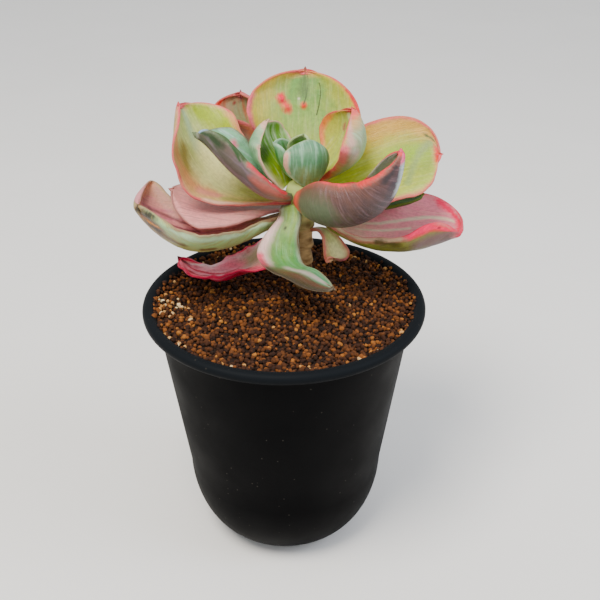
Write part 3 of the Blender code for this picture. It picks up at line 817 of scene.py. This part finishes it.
# %% The heart of the rosette
dressed_leaf("leaf_heart_right", dict(
    base=(11.8, 17.7, 141.4), azimuth=22, length=31, width=42, rise=(30, 56, 109), roll=12,
    cup=(20, 91), cup_base=0.8, share=0.38, widest=0.61, blunt=2.6, flare=2.2, base_share=0.1,
    thick=2.4,
), dict(
    inner=("A9B458", "ACB858", "A9B060"), sides=("B8B058", "DCD4A0"),
    outer=("8CA068", "80A074", "84A484"), outer_sides=("90A88C", "A09C80"), band="DBA070",
    rim="E47C78", rim_width=0.8, streak=0.4, streak_tint="C9CC98", outer_streak="B4CCB0",
), [
    ("E2DCB4", "inner", 1.3, (0.95, 0.35), (0.8, 0.0)),
    ("DC8860", "inner", 2.0, (0.8, 0.9), (0.62, 0.95), (0.45, 0.95)),
    ("A87060", "inner", 1.3, (0.77, 0.35), (0.73, 0.33)),
    ("E8788C", "inner", 2.0, (0.6, 0.15), (0.45, 0.05)),
    ("F08890", "outer", 2.0, (0.66, -0.97), (0.42, -0.92)),
    ("D0A89C", "outer", 1.4, (0.95, -0.9), (0.75, -0.85)),
    ("B8A49C", "outer", 2.2, (0.6, -0.75), (0.46, -0.7)),
])
dressed_leaf("leaf_heart_left", dict(
    base=(2.0, 17.9, 141.7), azimuth=145, length=24, width=31.5, rise=(79, 46, 128), roll=-12,
    cup=(80, -5), cup_base=0.7, share=0.67, widest=0.48, blunt=4.0, flare=0.9, base_share=0.5,
    thick=2.4,
), dict(
    inner=("94A840", "689430", "4C7C38"), sides=("E0C8A4", "6C9440"),
    outer=("A3B460", "7CA47C", "609070"), outer_sides=("88A884", "88A884"), band="B4C4A0",
    rim="D8B4A0", rim_width=0.5, streak=0.6, streak_tint="C8DCB8", outer_streak="B0C8B0",
), [
    ("DCA890", "inner", 1.4, (0.85, 0.8), (0.6, 0.9), (0.4, 0.95)),
    ("5C3C24", "inner", 0.6, (0.74, 0.3), (0.66, 0.32)),
    ("3E6424", "inner", 2.0, (0.6, 0.2), (0.45, 0.4)),
])
dressed_leaf("leaf_heart_small_left", dict(
    base=(2.6, 15.5, 144.8), azimuth=184, length=13, width=13.5, rise=(49, 69, 57), roll=-12,
    cup=(116, 38), cup_base=0.4, share=0.3, widest=0.56, blunt=1.8, flare=1.6, base_share=0.44,
    thick=1.8, mucro=1.2,
), dict(
    inner=("7C9C3C", "5C8848", "447848"), sides=("6C9C74", "4C8050"),
    outer=("7C9C3C", "5C8848", "447848"), outer_sides=("58885C", "58885C"), band="7CA884",
    rim="A8C8AC", rim_width=0.5, streak=0.6, streak_tint="9CBCA4", outer_streak="9CBCA4",
), uneven=0.1)
dressed_leaf("leaf_heart_small_back", dict(
    base=(7.3, 18.3, 144.4), azimuth=83, length=14, width=12, rise=(73, 88, 106), roll=-8,
    cup=(39, 84), cup_base=0.8, share=0.52, blunt=2.4, flare=1.2, base_share=0.41, thick=1.8,
    mucro=1.2,
), dict(
    inner=("8CA44C", "6C9448", "5C8C48"), sides=("7C9C50", "7C9C50"),
    outer=("8CA44C", "6C9448", "5C8C48"), outer_sides=("7C9C50", "7C9C50"), band="A8C08C",
    rim="B4C494", rim_width=0.5, streak=0.4, streak_tint="9CB480",
), uneven=0.1)
dressed_leaf("leaf_heart_front", dict(
    base=(9.1, 11.1, 143.1), azimuth=-78, length=18, width=17.5, rise=(81, 89, 197), roll=-12,
    cup=(67, 7), cup_base=1.0, share=0.46, widest=0.45, blunt=3.5, flare=0.85, base_share=0.38,
    thick=2.2, mucro=1.2,
), dict(
    inner=("A9B458", "9CB060", "9CB060"), sides=("B9BE70", "B9BE70"),
    outer=("949464", "588460", "648C70"), outer_sides=("608868", "608868"), band="A8C0A0",
    rim="D0C8B0", rim_width=0.5, streak=0.6, streak_tint="BCC9B4", streak_grain=(0.1, 0.9),
    outer_streak="A4C8B0",
), [
    ("DCA898", "outer", 1.0, (0.3, -0.95), (0.45, -0.94), (0.7, -0.9)),
], uneven=0.12)

# %% [markdown]
# ## The pot
# A soft nursery pot is polypropylene, moulded in black: a thin wall, a rolled lip that stiffens
# it, and drain holes in its foot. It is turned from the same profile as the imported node, with
# more steps, so that the lip's highlight runs round without facets.

# %% Pot form
POT_HEIGHT = 102.2
LIP_RADIUS = 52.5
LIP_ROLL = 2.0
WALL_TOP_RADIUS = 47.0
WALL_TOP = POT_HEIGHT - 7.6
CORNER_RADIUS = 38.4
CORNER_HEIGHT = 32.3
FOOT_RADIUS = 19.4
WALL = 1.5
HOLES = 5
HOLE_RADIUS = 2.6
HOLE_RING = 12.0
POT_STEPS = 160


def corner(inset, count):
    """The rounded lower corner from the wall down to the foot."""
    t = np.linspace(0, np.pi / 2, count)
    wide = CORNER_RADIUS - FOOT_RADIUS - inset
    return list(
        zip(
            FOOT_RADIUS + wide * np.cos(t),
            inset + (CORNER_HEIGHT - inset) * (1 - np.sin(t)),
            strict=True,
        )
    )


lip_turn = np.linspace(np.pi / 2, -np.pi / 2, 12)
lip = [
    (LIP_RADIUS - LIP_ROLL + LIP_ROLL * np.cos(t), POT_HEIGHT - LIP_ROLL + LIP_ROLL * np.sin(t))
    for t in lip_turn
]
outside = lip + [
    (LIP_RADIUS - 3.6, POT_HEIGHT - 4.4),
    (WALL_TOP_RADIUS + 0.9, POT_HEIGHT - 5.2),
    (WALL_TOP_RADIUS + 0.2, POT_HEIGHT - 6.2),
    (WALL_TOP_RADIUS, WALL_TOP),
]
wall_steps = np.linspace(0, 1, 8)[1:-1]
outside += [
    (
        WALL_TOP_RADIUS + (CORNER_RADIUS - WALL_TOP_RADIUS) * t,
        WALL_TOP + (CORNER_HEIGHT - POT_HEIGHT + 7.6) * t,
    )
    for t in wall_steps
]
outside += corner(0.0, 22) + [(FOOT_RADIUS - 1.0, 0.0), (HOLE_RING + HOLE_RADIUS, 0.0)]
inside = [(HOLE_RING + HOLE_RADIUS, WALL)] + list(reversed(corner(WALL, 16)))
inside += [
    (WALL_TOP_RADIUS - WALL, WALL_TOP),
    (WALL_TOP_RADIUS - 0.6, POT_HEIGHT - 4.6),
    (LIP_RADIUS - 5.0, POT_HEIGHT - 2.0),
    (LIP_RADIUS - 3.8, POT_HEIGHT - 0.4),
    (LIP_RADIUS - 2.9, POT_HEIGHT - 0.05),
]
profile = np.array([(0.0, WALL)] + inside + outside + [(0.0, 0.0)])

pot_mesh = bpy.data.meshes.new("pot_profile")
pot_mesh.from_pydata(
    [(r * MM, 0.0, z * MM) for r, z in profile], [(i, i + 1) for i in range(len(profile) - 1)], []
)
pot_source = placed("pot_profile", pot_mesh)
screw = pot_source.modifiers.new("Turn", "SCREW")
screw.steps = POT_STEPS
screw.render_steps = POT_STEPS
screw.use_merge_vertices = True
screw.merge_threshold = 0.00005

# %% [markdown]
# The drain holes are cut by five small cylinders in a ring. The cutters are used once: the
# result is read from the evaluated object, and then the helpers are removed.

# %% Drain holes
drills = bmesh.new()
for i in range(HOLES):
    turn = 2 * np.pi * (i + 0.5) / HOLES
    middle = (HOLE_RING * MM * np.cos(turn), HOLE_RING * MM * np.sin(turn), MM)
    bmesh.ops.create_cone(
        drills,
        cap_ends=True,
        segments=32,
        radius1=HOLE_RADIUS * MM,
        radius2=HOLE_RADIUS * MM,
        depth=6 * MM,
        matrix=Matrix.Translation(middle),
    )
drill_mesh = bpy.data.meshes.new("drills")
drills.to_mesh(drill_mesh)
drills.free()
drill = placed("drills", drill_mesh)
boring = pot_source.modifiers.new("Bore", "BOOLEAN")
boring.operation = "DIFFERENCE"
boring.solver = "EXACT"
boring.object = drill
bpy.context.view_layer.update()
graph = bpy.context.evaluated_depsgraph_get()
bored = bpy.data.meshes.new_from_object(pot_source.evaluated_get(graph))
pot_points = np.empty(len(bored.vertices) * 3)
bored.vertices.foreach_get("co", pot_points)
pot_points = pot_points.reshape(-1, 3) / MM
pot_faces = [tuple(polygon.vertices) for polygon in bored.polygons]
for helper in (pot_source, drill):
    bpy.data.objects.remove(helper)
print("pot faces:", len(pot_faces))

# %% [markdown]
# Moulded polypropylene is nearly black, satin where the tool was polished and duller where it
# has been handled. The lip is painted a little lighter toward its top, as a painted highlight,
# and soil dust clings to the wall as tiny specks. IOR 1.49 is typical for it.

# %% Pot finish
pot_plastic, tree, shader = new_material("moulded_black_polypropylene")
place = add(tree, "TexCoord", out="Object")
haze = add(tree, "TexNoise", {"Vector": place, "Scale": 45.0, "Detail": 5.0})
# Specks of 0.3 to 0.6 mm: the middle of a few cells in a pattern of 2 mm.
cells = {"Vector": place, "Scale": 520.0, "Randomness": 1.0}
from_middle = add(tree, "TexVoronoi", cells, out="Distance")
speck = add(tree, "MapRange", (from_middle, 0.08, 0.16, 1.0, 0.0))
pick = add(tree, "SeparateColor", [from_middle.node.outputs["Color"]])
chosen = add(tree, "Math", (pick, 0.9), operation="GREATER_THAN")
dots = add(tree, "Math", (speck, chosen), operation="MULTIPLY")
height = add(tree, "SeparateXYZ", [place], out="Z")
# A painted highlight: the black is painted lighter toward the top of the lip.
lip_painted_highlight = add(tree, "MapRange", (height, 0.0965, 0.1015, 0.0, 0.55))
paint = add(tree, "ValToRGB", [haze], stops=[(0.35, "010102"), (0.75, "020203")])
for amount, tint in ((lip_painted_highlight, "1C2024"), (dots, "383530")):
    paint = add(tree, "Mix", {0: amount, 6: paint, 7: colour(tint)}, 2, data_type="RGBA")
grain = add(tree, "TexNoise", {"Vector": place, "Scale": 2500.0, "Detail": 2.0})
feed(tree, shader, {
    "Base Color": paint,
    "Roughness": add(tree, "MapRange", (haze, 0.3, 0.7, 0.45, 0.62)),
    "Normal": add(tree, "Bump", {"Height": grain, "Strength": 0.15, "Distance": 0.0001}),
    "IOR": 1.49,
    "Specular IOR Level": 0.04,
})
piece("pot_shell", pot_points, pot_faces, pot_plastic, "pot")

# %% [markdown]
# ## The soil
# The filling is fine baked clay: crumbs of 1.1 to 2.4 mm, heaped up to the lip, sunken in a
# hollow at the left and under the plant. A dark closed bed fills the pot below them. Unlike the
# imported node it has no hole, and the stem's foot simply stands in it. Single crumbs are
# scattered over the bed on a jittered grid, so close that it shows only as shade between them.

# %% Bed of the soil
GAP = 0.3
SOIL_RADIUS = LIP_RADIUS - 5.0 - GAP
SOIL_TOP = 100.3
SOIL_CROWN = 0.5
LEFT_HOLLOW = 4.5
PLANT_HOLLOW = 1.6
STEM_X = 7.0
STEM_Y = 15.0
# How far the bed lies under the crumbs and over the pot's floor.
BED_UNDER = 0.9
BED_LIFT = 0.4


def soil_height(x, y):
    """The height of the soil, before its crumbs."""
    radius = np.hypot(x, y)
    left = LEFT_HOLLOW * np.exp(-(((x + 33.0) / 9.0) ** 2) - ((y - 8.0) / 13.0) ** 2)
    under_plant = PLANT_HOLLOW * np.exp(-(((x - 10.0) ** 2 + (y - 20.0) ** 2) / 260.0))
    return SOIL_TOP + SOIL_CROWN * (1 - (radius / SOIL_RADIUS) ** 2) - left - under_plant


around = np.linspace(0, 2 * np.pi, 96, endpoint=False)
corner_rings = list(reversed(corner(WALL, 8)))
bed_rings = []
for radius, height in corner_rings + [
    (WALL_TOP_RADIUS - WALL - 0.5, POT_HEIGHT - 8.0),
    (WALL_TOP_RADIUS - 1.2, POT_HEIGHT - 4.6),
]:
    level = np.full(len(around), height + BED_LIFT)
    bed_rings.append(np.stack([radius * np.cos(around), radius * np.sin(around), level], 1))
for radius in np.linspace(SOIL_RADIUS - BED_UNDER, 1.0, 30):
    x, y = radius * np.cos(around), radius * np.sin(around)
    bed_rings.append(np.stack([x, y, soil_height(x, y) - BED_UNDER], 1))
bed_rings = np.array(bed_rings)
bed_rings[: len(corner_rings), :, :2] *= 0.985
middle_height = float(soil_height(0.0, 0.0)) - BED_UNDER
bed_ends = [(0, 0, WALL + BED_LIFT), (0, 0, middle_height)]
bed_points = np.concatenate([bed_rings.reshape(-1, 3), bed_ends])
print("bed points:", len(bed_points))

# %% Crumbs of the soil
CRUMB_GRID = 1.5
grains = np.random.default_rng(21)
ball = bmesh.new()
bmesh.ops.create_icosphere(ball, subdivisions=2, radius=1.0)
ball_points = np.array([vertex.co for vertex in ball.verts])
ball_faces = np.array([[vertex.index for vertex in face.verts] for face in ball.faces])
ball.free()


def crumbs(name, centres, radii, tones, node=None):
    """One mesh of many crumbs. Each is a rounded lump, flattened and turned at random."""
    count = len(centres)
    lumps = ball_points[None] * (1 + grains.uniform(-0.22, 0.22, (count, len(ball_points), 1)))
    lumps = lumps * grains.uniform(0.72, 1.12, (count, 1, 3))
    axes = grains.normal(size=(count, 3, 3))
    turned_by = np.linalg.qr(axes)[0]
    turned_by[np.linalg.det(turned_by) < 0] *= -1
    lumps = np.einsum("nij,nkj->nki", turned_by, lumps) * radii[:, None, None]
    points = (lumps + centres[:, None]).reshape(-1, 3)
    faces = ball_faces[None] + (np.arange(count) * len(ball_points))[:, None, None]
    kept = {"tone": np.repeat(tones, len(ball_points))}
    faces = faces.reshape(-1, 3).tolist()
    return piece(name, points, faces, crumb_clay, node, kept)


# %% [markdown]
# Each crumb is fired clay with a dusty face. Most are red-brown to dark brown, some are
# orange-tan, and pale cream ones lie along the pot's edge, partly dust and partly a painted
# highlight where the edge catches the light. One random tone per crumb picks its place on a
# ramp, and noise roughens it.

# %% Clay finish
crumb_clay, tree, shader = new_material("baked_clay_crumbs")
tone = add(tree, "Attribute", out="Fac", attribute_name="tone")
place = add(tree, "TexCoord", out="Object")
dust = add(tree, "TexNoise", {"Vector": place, "Scale": 900.0, "Detail": 4.0})
clay_tones = [
    (0.0, "140803"),
    (0.3, "381C0A"),
    (0.5, "5C3312"),
    (0.65, "80491A"),
    (0.78, "A86E2C"),
    (0.9, "C49860"),
    (1.0, "E0CCA0"),
]
clay = add(tree, "ValToRGB", [tone], stops=clay_tones)
value = add(tree, "MapRange", (dust, 0.3, 0.7, 0.75, 1.25))
feed(tree, shader, {
    "Base Color": add(tree, "HueSaturation", {"Value": value, "Color": clay}),
    "Roughness": 0.9,
    "Specular IOR Level": 0.3,
    "Normal": add(tree, "Bump", {"Height": dust, "Strength": 0.6, "Distance": 0.0002}),
})
bed_tone = {"tone": np.full(len(bed_points), 0.05)}
bed_faces = closed_rings(bed_rings)
piece("soil_bed", bed_points, bed_faces, crumb_clay, "soil", bed_tone)

# %% Scattering the crumbs
# Jitter is a share of the grid's step, and the other values are in mm.
JITTER = 0.45
SINK = 0.45
ROW_STEP = 0.866
half = SOIL_RADIUS + 2
columns = np.arange(-half, half, CRUMB_GRID)
rows = np.arange(-half, half, CRUMB_GRID * ROW_STEP)
x, y = np.meshgrid(columns, rows)
x = x + (np.arange(len(rows)) % 2)[:, None] * CRUMB_GRID / 2
x = (x + grains.uniform(-JITTER, JITTER, x.shape) * CRUMB_GRID).ravel()
y = (y + grains.uniform(-JITTER, JITTER, y.shape) * CRUMB_GRID).ravel()
inside_pot = np.hypot(x, y) < SOIL_RADIUS + 1.3
off_stem = np.hypot(x - STEM_X, y - STEM_Y) > 4.0
x, y = x[inside_pot & off_stem], y[inside_pot & off_stem]
radii = 0.56 + 0.62 * grains.beta(1.6, 3.0, len(x))
z = soil_height(x, y) - SINK + grains.uniform(-SINK, SINK, len(x))
# Toward the lip the crumbs are heaped. Pale ones lie along it, partly dust and partly a painted
# highlight where the edge catches the light, and most of all at the left.
edge_rise = np.clip((np.hypot(x, y) - 44.5) / 2.5, 0, 1)
on_lip = np.clip(np.hypot(x, y) - SOIL_RADIUS, 0, 2)
z = z + 0.55 * edge_rise + 0.9 * on_lip
tones = grains.beta(2.2, 2.7, len(x)) * 0.84
pale_and_lit_edge = np.exp(-(((np.hypot(x, y) - 46.5) / 1.5) ** 2))
pale_left = np.exp(-(((x + 41) / 5) ** 2) - ((y + 2) / 6) ** 2)
pale = grains.uniform(size=len(x)) < 0.08 * pale_and_lit_edge + 0.4 * pale_left + 0.002
tones = np.where(pale, grains.uniform(0.78, 1.0, len(x)), tones)
centres = np.stack([x, y, z], 1)
front = y < 0
crumbs("crumbs_front", centres[front], radii[front], tones[front])
crumbs("crumbs_back", centres[~front], radii[~front], tones[~front])

# %% [markdown]
# ## The stem
# The bare part of the stem is corky and brown, pinched and ringed by the scars of fallen
# leaves. Above it the crown is still green, where the leaf feet crowd together. It is one
# turned form whose radius wanders, with the scars as shallow steps.

# %% Stem
# Height and radius, foot to top.
stem_profile = np.array([
    (92.0, 3.6), (103.0, 3.6), (106.0, 3.5), (110.0, 3.8), (113.5, 3.4), (117.5, 3.9),
    (120.5, 3.5), (124.0, 4.0), (126.6, 4.3), (129.0, 4.4), (134.4, 4.45), (136.0, 4.8),
    (138.5, 4.9), (141.4, 4.7), (142.9, 3.6), (144.0, 2.1), (145.2, 1.3),
])
STEM_FOOT, STEM_TOP = stem_profile[0, 0], stem_profile[-1, 0]
STEM_LEVELS = 150
STEM_TURNS = 60
SCARS = 14
SCAR_DEPTH = 0.35
SCAR_LIFT = 0.25
levels = np.linspace(STEM_FOOT, STEM_TOP, STEM_LEVELS)
turns = np.linspace(0, 2 * np.pi, STEM_TURNS, endpoint=False)
stem_radius = np.interp(levels, stem_profile[:, 0], stem_profile[:, 1])
bark = np.random.default_rng(5)
relief = np.zeros((len(levels), len(turns)))
for k in range(SCARS):
    scar_level = bark.uniform(101, 134)
    scar_turn = bark.uniform(0, 2 * np.pi)
    away = np.angle(np.exp(1j * (turns - scar_turn)))
    dip = np.exp(-(((levels[:, None] - scar_level) / 0.9) ** 2) - (away[None, :] / 0.9) ** 2)
    relief -= SCAR_DEPTH * dip
    lift = np.exp(-(((levels[:, None] - scar_level - 1.5) / 0.8) ** 2) - (away / 0.8) ** 2)
    relief += SCAR_LIFT * lift
relief *= ((levels > 100) & (levels < 136))[:, None]
# The crown bulges to the left and the front, where the leaf feet crowd. It is fuller there than
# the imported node, by BULGE at most, so it and the feet of some leaves overlap by up to 2 mm.
BULGE = 1.7
BULGE_LEVEL = 139.5
BULGE_TURN = 3.6
away = np.angle(np.exp(1j * (turns - BULGE_TURN)))
bulge = np.exp(-(((levels[:, None] - BULGE_LEVEL) / 2.6) ** 2) - (away / 0.9) ** 2)
relief += BULGE * bulge
stem_size = stem_radius[:, None] + relief
stem_rings = np.stack([
    STEM_X + stem_size * np.cos(turns),
    STEM_Y + stem_size * np.sin(turns),
    np.repeat(levels[:, None], len(turns), axis=1),
], -1)
stem_ends = [(STEM_X, STEM_Y, STEM_FOOT), (STEM_X, STEM_Y, 145.8)]
stem_points = np.concatenate([stem_rings.reshape(-1, 3), stem_ends])

# %% Stem finish
stem_bark, tree, shader = new_material("corky_stem")
place = add(tree, "TexCoord", out="Object")
height = add(tree, "SeparateXYZ", [place], out="Z")
rough_noise = add(tree, "TexNoise", {"Vector": place, "Scale": 260.0, "Detail": 5.0})
flattened = add(tree, "Mapping", {"Vector": place, "Scale": (160.0, 160.0, 420.0)})
rings_noise = add(tree, "TexNoise", {"Vector": flattened, "Scale": 1.0, "Detail": 3.0})
# Green begins at 124 mm, and noise moves that line up and down by up to 6 mm.
shift = add(tree, "Math", (rough_noise, 0.012, -0.006), operation="MULTIPLY_ADD")
moved = add(tree, "Math", (height, shift), operation="ADD")
greening = add(tree, "MapRange", (moved, 0.124, 0.133))
cork = add(tree, "ValToRGB", [rings_noise], stops=[(0.35, "745024"), (0.7, "DCB87C")])
crown = add(tree, "ValToRGB", [rough_noise], stops=[(0.0, "8FA552"), (1.0, "C2CB7A")])
feed(tree, shader, {
    "Base Color": add(tree, "Mix", {0: greening, 6: cork, 7: crown}, 2, data_type="RGBA"),
    "Roughness": 0.75,
    "Normal": add(tree, "Bump", {"Height": rings_noise, "Strength": 0.7, "Distance": 0.0004}),
})
piece("stem_bark", stem_points, closed_rings(stem_rings), stem_bark, "stem")
